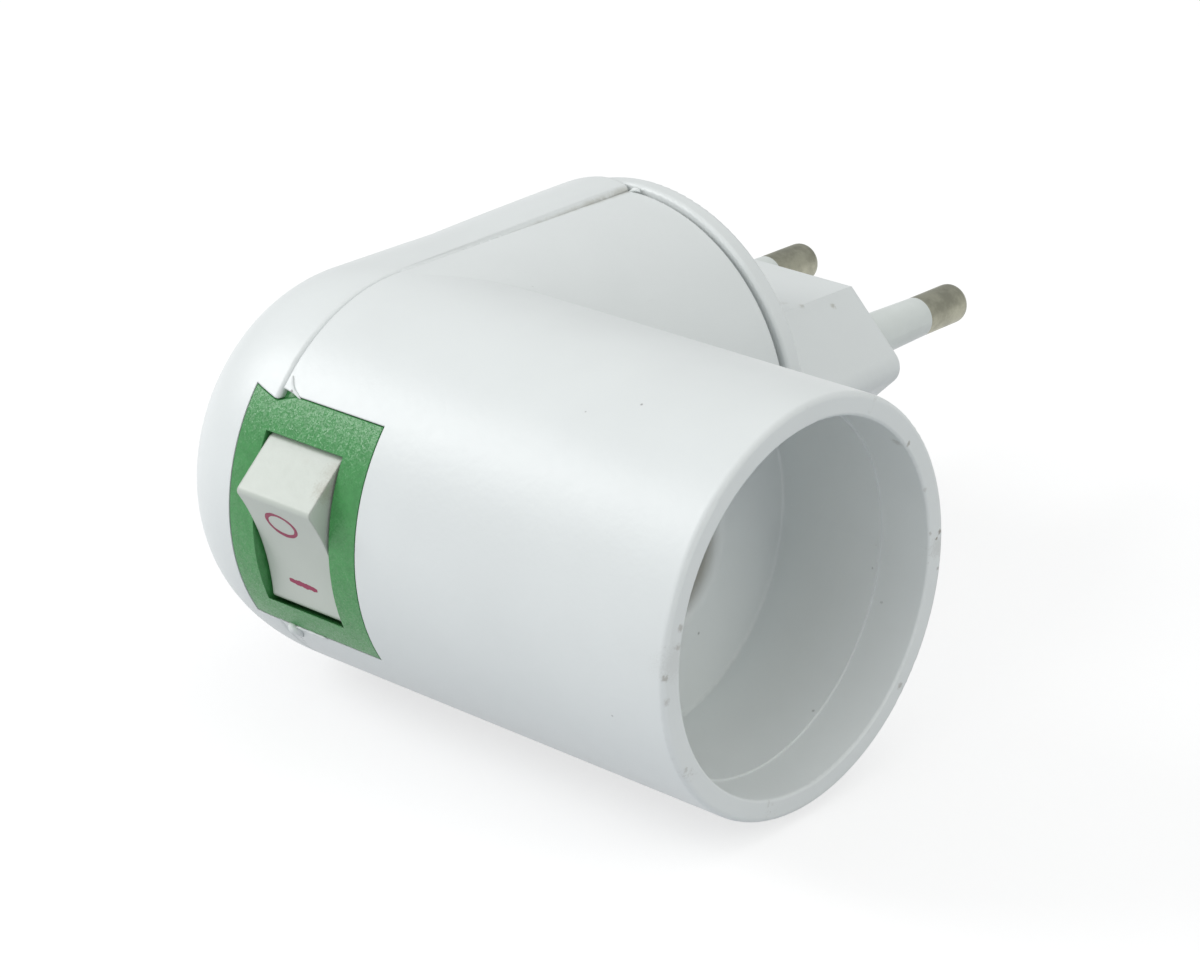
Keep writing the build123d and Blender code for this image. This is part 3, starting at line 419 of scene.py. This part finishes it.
def marked_moulding(name, settings, marks, base_colour=None, edge=None):
    """White plastic with a few dirty or scuffed spots at known places."""
    material, tree, shader, base = white_moulding(name, settings, base_colour, edge)
    where = place(tree)
    marked = mix_colour(tree, spots(tree, where, marks, 2.0), base, tuple(settings.grime_and_shade))
    tree.links.new(marked, shader.inputs["Base Color"])
    return material


def seam_grime_and_shade(tree, where, base, settings):
    """Grime along the seam's straight stretch, widened and softened towards the plug as painted shade of the
    seam's valley.
    """
    y = measure(tree, where, "Y")
    off_seam = maths(tree, "ABSOLUTE", maths(tree, "SUBTRACT", measure(tree, where, "X"), SEAM_X * MM))
    wander = maths(tree, "MULTIPLY", noise(tree, where, 0.0011, 4.0, 0.7), 0.0005)
    towards_plug = step(tree, y, -0.036, -0.0195)
    reach = maths(tree, "ADD", 0.00052, maths(tree, "MULTIPLY", towards_plug, 0.00025))
    line = step(tree, maths(tree, "SUBTRACT", reach, maths(tree, "ADD", off_seam, wander)), 0.0, 0.0005)
    along = maths(tree, "MULTIPLY", step(tree, y, -0.0375, -0.0320), 0.42)
    patchy = step(tree, noise(tree, where, 0.0016, 3.0, 0.7), 0.32, 0.55)
    # Partly grime, partly painted shade of the valley where the cover stands proud towards the plug
    grime_and_shade = maths(tree, "MULTIPLY", maths(tree, "MULTIPLY", line, along), patchy)
    return mix_colour(tree, grime_and_shade, base, tuple(settings.grime_and_shade))


def cover_moulding(settings):
    """The rear cover's white plastic, with grime and painted shade along the seam."""
    material, tree, shader, base = white_moulding("rear cover white", settings)
    where = place(tree)
    tree.links.new(seam_grime_and_shade(tree, where, base, settings), shader.inputs["Base Color"])
    return material


def shroud_moulding(settings):
    """The front body's white plastic, with dirt in the scratches on its rim, grime and painted shade along
    the seam, and dark specks with a painted shadow line in the seam's groove below the switch frame.
    """
    material, tree, shader, base = white_moulding("front body white", settings)
    where = place(tree)
    at_rim = step(tree, measure(tree, where, "X"), (MOUTH_X - 0.9) * MM, (MOUTH_X - 0.2) * MM)
    patches = step(tree, noise(tree, where, 0.004, 3.0, 0.7), 0.60, 0.74)
    streaks = step(tree, noise(tree, where, 0.0005, 4.0, 0.8), 0.50, 0.66)
    faint = maths(tree, "MULTIPLY", maths(tree, "MULTIPLY", at_rim, patches), streaks)
    dirt = maths(tree, "MAXIMUM", maths(tree, "MULTIPLY", faint, 0.3), spots(tree, where, RIM_DIRT, 2.6))
    dirty = mix_colour(tree, dirt, base, tuple(settings.dirt))
    # Dark specks, and a painted shadow line along the seam's groove below the switch frame's lower nib
    specked_and_shaded = mix_colour(tree, spots(tree, where, SPECKS_AND_SHADOW_LINE, 1.0), dirty, tuple(settings.speck_and_shade))
    tree.links.new(seam_grime_and_shade(tree, where, specked_and_shaded, settings), shader.inputs["Base Color"])
    return material


def green_moulding(settings):
    """The switch frame's green plastic, with the sparkling grain of its mould."""
    material, tree, shader = new_material("switch frame green", settings.green, 0.32, IOR=1.5)
    where = place(tree)
    tint = mix_colour(tree, step(tree, noise(tree, where, 0.0007, 3.0), 0.3, 0.7), tuple(settings.green),
                      tuple(v * 0.88 for v in settings.green))
    tree.links.new(tint, shader.inputs["Base Color"])
    bump(tree, shader, noise(tree, where, 0.00025, 2.0), 0.00003, 0.7,
         sparkling(tree, where, 0.00012, 0.24, soft_edges(tree, 0.00010)))
    return material


def plain_moulding(name, base, roughness, grain_size):
    """A plain plastic, skin or ink with a fine grain."""
    material, tree, shader = new_material(name, base, roughness, IOR=1.5)
    where = place(tree)
    tint = mix_colour(tree, step(tree, noise(tree, where, grain_size * 20, 3.0), 0.3, 0.7), tuple(base),
                      tuple(v * 0.93 for v in base))
    tree.links.new(tint, shader.inputs["Base Color"])
    bump(tree, shader, noise(tree, where, grain_size), 0.00001, 0.5)
    return material


def bare_metal(name, base, roughness, stretch, size):
    """Dull metal, tarnished in patches, with fine lines; stretch squeezes them along X, Y and Z."""
    material, tree, shader = new_material(name, base, roughness, Metallic=1.0)
    where = place(tree)
    along = add_node(tree, "ShaderNodeVectorMath", {0: where, 1: stretch}, operation="MULTIPLY").outputs[0]
    lines = noise(tree, along, size, 3.0)
    tarnish = step(tree, noise(tree, where, size * 7, 5.0, 0.65), 0.35, 0.68)
    tint = mix_colour(tree, tarnish, tuple(v * 1.22 for v in base), tuple(v * 0.86 for v in base))
    tree.links.new(tint, shader.inputs["Base Color"])
    rough = add_node(tree, "ShaderNodeMapRange", {"Value": lines, "To Min": roughness - 0.08,
                                                  "To Max": roughness + 0.12})
    tree.links.new(rough.outputs["Result"], shader.inputs["Roughness"])
    bump(tree, shader, lines, 0.00001, 0.5)
    return material


def paint(material, *nodes):
    """Gives CAD nodes a material."""
    for node in nodes:
        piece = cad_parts[node]
        piece.data.materials.clear()
        piece.data.materials.append(material)


def add_piece(name, data, material, body):
    """An object from mesh data that moves with a body."""
    piece = bpy.data.objects.new(name, data)
    bpy.context.scene.collection.objects.link(piece)
    data.materials.append(material)
    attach(piece, body)
    return piece


def new_piece(name, mesh, material, body):
    """An object from a bmesh that moves with a body."""
    data = bpy.data.meshes.new(name)
    mesh.to_mesh(data)
    mesh.free()
    return add_piece(name, data, material, body)


def smooth(piece):
    """Shades a piece smooth."""
    for face in piece.data.polygons:
        face.use_smooth = True


def bead(points, sides=10):
    """A thin uneven rope of plastic; each point holds X, Y and Z and a radius in millimetres."""
    mesh = bmesh.new()
    middles = [Vector(point[:3]) for point in points]
    rings = []
    for i, middle in enumerate(middles):
        way = (middles[min(i + 1, len(middles) - 1)] - middles[max(i - 1, 0)]).normalized()
        side = way.cross(Vector((0.3, 0.2, 1.0))).normalized()
        up = way.cross(side)
        ring = []
        for k in range(sides):
            turn = 2 * pi * k / sides
            ring.append(mesh.verts.new((middle + points[i][3] * (cos(turn) * side + sin(turn) * up)) * MM))
        rings.append(ring)
    for low, high in zip(rings, rings[1:]):
        for k in range(sides):
            n = (k + 1) % sides
            mesh.faces.new((low[k], low[n], high[n], high[k]))
    mesh.faces.new(rings[0])
    mesh.faces.new(rings[-1])
    bmesh.ops.recalc_face_normals(mesh, faces=mesh.faces)
    return mesh


# Rocker's face


def rocker_point(along, out, x):
    """A point on the rocker in metres: along its face upwards, out of its face, and X, all in millimetres."""
    tilt = radians(ROCKER_TILT)
    y = PIVOT_Y - along * sin(tilt) - out * cos(tilt)
    z = SWITCH_Z + along * cos(tilt) - out * sin(tilt)
    return Vector((x * MM, y * MM, z * MM))


def face_height(along):
    """How far the rocker's hollow face lies from its pivot, in millimetres."""
    edge = sqrt(ROCKER_END_R ** 2 - ROCKER_HALF_CHORD ** 2)
    bow = (ROCKER_HALF_CHORD ** 2 + ROCKER_HOLLOW ** 2) / (2 * ROCKER_HOLLOW)
    return edge - ROCKER_HOLLOW + bow - sqrt(bow ** 2 - along ** 2)


def printed_shape(outline, closed, width, shares):
    """A thin printed line on the rocker's face, through (x, along) points in millimetres."""
    mesh = bmesh.new()
    rows = []
    count = len(outline)
    for i, (x, along) in enumerate(outline):
        before = outline[(i - 1) % count] if closed or i else outline[i]
        after = outline[(i + 1) % count] if closed or i < count - 1 else outline[i]
        way = Vector((after[0] - before[0], after[1] - before[1])).normalized()
        side = Vector((-way.y, way.x)) * width * shares[i] / 2
        row = []
        for sign in (-1, 1):
            px, pa = x + sign * side.x, along + sign * side.y
            row.append(mesh.verts.new(rocker_point(pa, face_height(pa) + PRINT_LIFT, px)))
        rows.append(row)
    last = count if closed else count - 1
    for i in range(last):
        a, b = rows[i], rows[(i + 1) % count]
        mesh.faces.new((a[0], a[1], b[1], b[0]))
    bmesh.ops.recalc_face_normals(mesh, faces=mesh.faces)
    return mesh


class LAMPHOLDER_OT_housing(bpy.types.Operator):
    """Finish the white shells and the plug body"""

    bl_idname = "lampholder.housing"
    bl_label = "White Mouldings"

    def execute(self, context):
        settings = context.scene.lampholder_housing
        paint(shroud_moulding(settings), "front_body")
        cover = add_piece("rear_cover_proud", self.proud_cover(), cover_moulding(settings), "housing")
        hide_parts("rear_cover")
        paint(marked_moulding("plug body white", settings, SCUFFS), "plug_body")
        return {"FINISHED"}

    def proud_cover(self):
        """The rear cover, standing proud of the front body towards the plug, as its bowed edge does."""
        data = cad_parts["rear_cover"].data.copy()
        data.materials.clear()
        for vert in data.vertices:
            rise = PROUD_SLOPE * max(0, vert.co.y / MM - PROUD_FROM_Y)
            inland = min(1, max(0, (SEAM_X - vert.co.x / MM) / PROUD_EDGE_WIDTH))
            rise *= PROUD_EDGE_SHARE + (1 - PROUD_EDGE_SHARE) * inland * (2 - inland)
            share_up = (abs(vert.co.z) / MM - PROUD_LOW_Z) / (PROUD_FULL_Z - PROUD_LOW_Z)
            share_up = min(1, max(0, share_up))
            vert.co.z += rise * share_up ** 2 * (3 - 2 * share_up) * MM * (1 if vert.co.z > 0 else -1)
        return data


class LAMPHOLDER_OT_burrs(bpy.types.Operator):
    """Add the burrs and flashes that the moulds left along the seam and the switch frame"""

    bl_idname = "lampholder.burrs"
    bl_label = "Burrs and Flashes"

    def execute(self, context):
        settings = context.scene.lampholder_housing
        plastic = white_moulding("burr white", settings)[0]
        for name, points in BURRS.items():
            self.finish(new_piece(name, bead(points), plastic, "housing"))
        draw = Random(context.scene.lampholder_stage.samples_seed)
        for number, (start, end) in enumerate(SEAM_FILLS, 1):
            points = self.fill(start, end, draw)
            self.finish(new_piece(f"seam_fill_{number}", bead(points), plastic, "housing"))
        return {"FINISHED"}

    def finish(self, piece):
        """Shades a burr smooth."""
        smooth(piece)

    def fill(self, start, end, draw):
        """Points of a flash along the seam's groove, a little uneven, fading out at both ends."""
        count = max(4, round((end - start) / FILL_SPACING))
        points = []
        for i in range(count + 1):
            y = start + (end - start) * i / count
            half = SHROUD_R + (BOSS_END_R - SHROUD_R) * (y - LAMP_Y) / BOSS_LENGTH
            radius = FILL_R * min(1, 0.2 + i / 2, 0.2 + (count - i) / 2) * draw.uniform(0.85, 1.05)
            points.append((SEAM_X - FILL_ASIDE, y, half - FILL_DEPTH, radius))
        return points


class LAMPHOLDER_OT_switch(bpy.types.Operator):
    """Finish the switch frame and the rocker, and print the rocker's marks"""

    bl_idname = "lampholder.switch"
    bl_label = "Switch"

    def execute(self, context):
        settings = context.scene.lampholder_switch
        housing = context.scene.lampholder_housing
        paint(green_moulding(settings), "switch_frame")
        white = marked_moulding("rocker white", housing, ROCKER_DIRT, settings.rocker, settings.rocker_edge)
        paint(white, "rocker")
        ink = plain_moulding("printed red", tuple(settings.print_red), 0.5, 0.0001)
        half_wide, half_high = settings.ring_width / MM / 2, settings.ring_height / MM / 2
        turns = [t * pi / 32 for t in range(64)]
        ring = [(RING_X + half_wide * cos(t), RING_ALONG + half_high * sin(t)) for t in turns]
        widths = [1 + 0.12 * sin(3 * t + 0.6) + 0.05 * sin(11 * t) for t in turns]
        line = settings.line_width / MM
        new_piece("rocker_mark_ring", printed_shape(ring, True, line, widths), ink, "rocker")
        half = settings.bar_length / MM / 2
        steps = [t / 36 for t in range(37)]
        bar = [(BAR_X - half + 2 * half * t, BAR_ALONG - BAR_DROP * t + 0.02 * sin(19 * t)) for t in steps]
        frayed = [0.09 * sin(23 * t) + 0.06 * sin(51 * t + 1) for t in steps]
        widths = [0.62 + 0.55 * sin(pi * t) ** 0.6 + fray for t, fray in zip(steps, frayed)]
        new_piece("rocker_mark_bar", printed_shape(bar, False, line * 1.15, widths), ink, "rocker")
        return {"FINISHED"}


class LAMPHOLDER_OT_socket(bpy.types.Operator):
    """Roll the thread into the lamp's screw shell and finish the socket's contacts"""

    bl_idname = "lampholder.socket"
    bl_label = "Lamp Socket"

    def execute(self, context):
        settings = context.scene.lampholder_socket
        brass = bare_metal("socket brass", tuple(settings.brass), 0.28, (1.0, 6.0, 6.0), 0.0004)
        shell = self.threaded_shell(settings)
        piece = new_piece("threaded_shell", shell, brass, "housing")
        smooth(piece)
        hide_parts("screw_shell")
        paint(brass, "centre_contact", "contact_eyelet")
        return {"FINISHED"}

    def threaded_shell(self, settings):
        """The shell's sheet, pressed into a round thread, with the tab for its wire."""
        mesh = bmesh.new()
        around, along = 96, 110
        pitch, depth = settings.pitch / MM, settings.depth / MM
        crest = SHELL_OUTER_R - SHELL_CLEARANCE
        layers = []
        for inset in (0.0, SHELL_SHEET):
            rings = []
            for i in range(along + 1):
                x = SHELL_BACK_X + SHELL_LENGTH * i / along
                fade = min(1, (SHELL_BACK_X + SHELL_LENGTH - x) / THREAD_RUN_OUT)
                ring = []
                for k in range(around):
                    turn = 2 * pi * k / around
                    wave = 0.5 - 0.5 * cos(2 * pi * x / pitch - turn)
                    r = crest - inset - depth * fade * wave
                    ring.append(mesh.verts.new((x * MM, (LAMP_Y + r * cos(turn)) * MM, r * sin(turn) * MM)))
                rings.append(ring)
            layers.append(rings)
        for rings in layers:
            for low, high in zip(rings, rings[1:]):
                for k in range(around):
                    n = (k + 1) % around
                    mesh.faces.new((low[k], low[n], high[n], high[k]))
        for end in (0, -1):
            outer, inner = layers[0][end], layers[1][end]
            for k in range(around):
                n = (k + 1) % around
                mesh.faces.new((outer[k], outer[n], inner[n], inner[k]))
        tab = bmesh.ops.create_cube(mesh, size=1)["verts"]
        tab_length = SHELL_BACK_X - TAB_END_X + TAB_OVERLAP
        size = Matrix.Diagonal((tab_length * MM, SHELL_SHEET * MM, TAB_WIDTH * MM, 1))
        middle = Vector(((TAB_END_X + tab_length / 2) * MM, (LAMP_Y + crest - 0.75 * SHELL_SHEET) * MM, 0))
        bmesh.ops.transform(mesh, matrix=Matrix.Translation(middle) @ size, verts=tab)
        bmesh.ops.recalc_face_normals(mesh, faces=mesh.faces)
        return mesh


class LAMPHOLDER_OT_plug(bpy.types.Operator):
    """Finish the pins and their insulating sleeves"""

    bl_idname = "lampholder.plug"
    bl_label = "Pins and Sleeves"

    def execute(self, context):
        settings = context.scene.lampholder_plug
        nickel = bare_metal("dull nickel", tuple(settings.nickel), 0.42, (6.0, 1.0, 6.0), 0.0003)
        sleeve = plain_moulding("sleeve plastic", tuple(settings.sleeve), 0.3, 0.0002)
        paint(nickel, "pin_front", "pin_rear")
        paint(sleeve, "pin_sleeve_front", "pin_sleeve_rear")
        return {"FINISHED"}


class LAMPHOLDER_OT_works(bpy.types.Operator):
    """Finish the parts inside the housing, and its screws"""

    bl_idname = "lampholder.works"
    bl_label = "Inner Works"

    def execute(self, context):
        settings = context.scene.lampholder_works
        brass = bare_metal("contact brass", tuple(settings.brass), 0.32, (1.0, 1.0, 1.0), 0.0003)
        steel = bare_metal("zinc plated steel", tuple(settings.steel), 0.36, (1.0, 6.0, 6.0), 0.0003)
        cream = plain_moulding("inner plastic", tuple(settings.cream), 0.5, 0.0003)
        blue = plain_moulding("blue wire skin", tuple(settings.blue), 0.4, 0.0003)
        brown = plain_moulding("brown wire skin", tuple(settings.brown), 0.4, 0.0003)
        paint(brass, "pivot_terminal", "lamp_terminal", "terminal_rivet", "contact_blade", "blade_rivet")
        paint(brass, "contact_arc_front", "contact_arc_rear")
        paint(steel, "cover_screws", "rocker_spring")
        paint(cream, "switch_base", "socket_base", "swivel_plate", "rocker_plunger")
        paint(blue, "neutral_wire")
        paint(brown, "live_wire", "lamp_wire")
        return {"FINISHED"}


class LAMPHOLDER_OT_stage(bpy.types.Operator):
    """Set up the pale floor, the soft lamps, the even world light and the camera"""

    bl_idname = "lampholder.stage"
    bl_label = "Studio"

    def execute(self, context):
        settings = context.scene.lampholder_stage
        self.floor()
        self.lamp("key lamp", (-0.72, -0.44, 0.56), 0.62, 0.26, settings.key_power, (1, 1, 1))
        self.lamp("top lamp", (0.25, 0.1, 1.0), 0.8, 0.6, settings.key_power * 0.6, (1, 1, 1))
        self.lamp("fill lamp", (1.0, 0.3, 0.6), 0.8, 0.4, settings.fill_power, (1, 1, 0.92))
        self.lamp("front lamp", (0.1, -1.0, 0.12), 0.8, 0.5, settings.front_power, (1, 1, 1))
        self.world(context, settings.world)
        self.camera(context, settings)
        context.scene.view_settings.view_transform = "Standard"
        return {"FINISHED"}

    def floor(self):
        """A wide pale floor at the part's lowest point, white to the camera and still holding a shadow."""
        mesh = bmesh.new()
        bmesh.ops.create_grid(mesh, x_segments=2, y_segments=2, size=FLOOR_HALF_WIDTH)
        data = bpy.data.meshes.new("floor")
        mesh.to_mesh(data)
        mesh.free()
        floor = bpy.data.objects.new("floor", data)
        floor.location.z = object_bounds()[0][2] - FLOOR_DROP
        bpy.context.scene.collection.objects.link(floor)
        material = bpy.data.materials.new("pale floor")
        material.use_nodes = True
        tree = material.node_tree
        tree.nodes.clear()
        paths = add_node(tree, "ShaderNodeLightPath")
        seen = maths(tree, "MAXIMUM", paths.outputs["Is Camera Ray"], paths.outputs["Is Glossy Ray"])
        seen = maths(tree, "MAXIMUM", seen, paths.outputs["Is Transmission Ray"])
        plain = add_node(tree, "ShaderNodeBsdfDiffuse", {"Color": FLOOR_BOUNCE})
        dim = add_node(tree, "ShaderNodeBsdfDiffuse", {"Color": FLOOR_SHADE})
        away = add_node(tree, "ShaderNodeVectorMath", {0: place(tree)}, operation="LENGTH").outputs["Value"]
        far = step(tree, away, GLOW_FROM, GLOW_TO)
        strength = maths(tree, "MULTIPLY_ADD", far, FAR_FLOOR_GLOW, FLOOR_GLOW)
        glow = add_node(tree, "ShaderNodeEmission", {"Color": (1, 1, 1, 1), "Strength": strength})
        lit = add_node(tree, "ShaderNodeAddShader", {0: dim.outputs[0], 1: glow.outputs[0]})
        both = add_node(tree, "ShaderNodeMixShader", {0: seen, 1: plain.outputs[0], 2: lit.outputs[0]})
        add_node(tree, "ShaderNodeOutputMaterial", {"Surface": both.outputs[0]})
        data.materials.append(material)
        floor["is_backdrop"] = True

    def lamp(self, name, way, distance, size, power, tint):
        """A square soft lamp that shines on the part from a direction."""
        data = bpy.data.lights.new(name, "AREA")
        data.size = size
        data.energy = power
        data.color = tint
        lamp = bpy.data.objects.new(name, data)
        lamp.location = Vector(LIT_MIDDLE) + Vector(way).normalized() * distance
        lamp.rotation_euler = Vector(way).to_track_quat("Z", "Y").to_euler()
        bpy.context.scene.collection.objects.link(lamp)

    def world(self, context, strength):
        """Even light from all round, and a white background."""
        world = bpy.data.worlds.new("studio")
        world.use_nodes = True
        context.scene.world = world
        tree = world.node_tree
        tree.nodes.clear()
        paths = add_node(tree, "ShaderNodeLightPath")
        even = add_node(tree, "ShaderNodeBackground", {"Color": (0.97, 0.99, 1.0, 1), "Strength": strength})
        white = add_node(tree, "ShaderNodeBackground", {"Color": (1, 1, 1, 1), "Strength": 1.0})
        both = add_node(tree, "ShaderNodeMixShader", {0: paths.outputs["Is Camera Ray"], 1: even.outputs[0],
                                                      2: white.outputs[0]})
        add_node(tree, "ShaderNodeOutputWorld", {"Surface": both.outputs[0]})

    def camera(self, context, settings):
        """The photograph's view."""
        data = bpy.data.cameras.new("camera")
        data.lens = settings.lens
        data.sensor_width = 36
        data.sensor_fit = "HORIZONTAL"
        data.clip_start = 0.01
        camera = bpy.data.objects.new("camera", data)
        az, el = settings.azimuth, settings.elevation
        back = Vector((sin(az) * cos(el), -cos(az) * cos(el), sin(el)))
        right = Vector((0, 0, 1)).cross(back).normalized()
        up = back.cross(right)
        c, s = cos(settings.roll), sin(settings.roll)
        turned = Matrix((c * right + s * up, -s * right + c * up, back)).transposed()
        camera.matrix_world = Matrix.Translation(CAMERA_PLACE) @ turned.to_4x4()
        context.scene.collection.objects.link(camera)
        context.scene.camera = camera


OPERATORS = (
    LAMPHOLDER_OT_housing,
    LAMPHOLDER_OT_burrs,
    LAMPHOLDER_OT_switch,
    LAMPHOLDER_OT_socket,
    LAMPHOLDER_OT_plug,
    LAMPHOLDER_OT_works,
    LAMPHOLDER_OT_stage,
)
SETTINGS = {
    "lampholder_housing": HousingSettings,
    "lampholder_switch": SwitchSettings,
    "lampholder_socket": SocketSettings,
    "lampholder_plug": PlugSettings,
    "lampholder_works": WorksSettings,
    "lampholder_stage": StageSettings,
}


class LAMPHOLDER_PT_panel(bpy.types.Panel):
    """Lists the settings and the operators"""

    bl_idname = "LAMPHOLDER_PT_panel"
    bl_label = "Lamp Holder"
    bl_space_type = "VIEW_3D"
    bl_region_type = "UI"
    bl_category = "Lamp Holder"

    def draw(self, context):
        for name, group in SETTINGS.items():
            box = self.layout.box()
            box.label(text=group.__doc__)
            for key in group.__annotations__:
                box.prop(getattr(context.scene, name), key)
        for operator in OPERATORS:
            self.layout.operator(operator.bl_idname)


def register():
    """Registers the classes and puts the settings on the scene."""
    for name, group in SETTINGS.items():
        bpy.utils.register_class(group)
        setattr(bpy.types.Scene, name, PointerProperty(type=group))
    for item in (*OPERATORS, LAMPHOLDER_PT_panel):
        bpy.utils.register_class(item)


def unregister():
    """Takes everything off again."""
    for item in (LAMPHOLDER_PT_panel, *reversed(OPERATORS)):
        bpy.utils.unregister_class(item)
    for name, group in SETTINGS.items():
        delattr(bpy.types.Scene, name)
        bpy.utils.unregister_class(group)


def main():
    """Registers the classes and runs every operator, which makes the scene."""
    register()
    for operator in OPERATORS:
        group, name = operator.bl_idname.split(".")
        getattr(getattr(bpy.ops, group), name)()


if __name__ == "__main__":
    main()
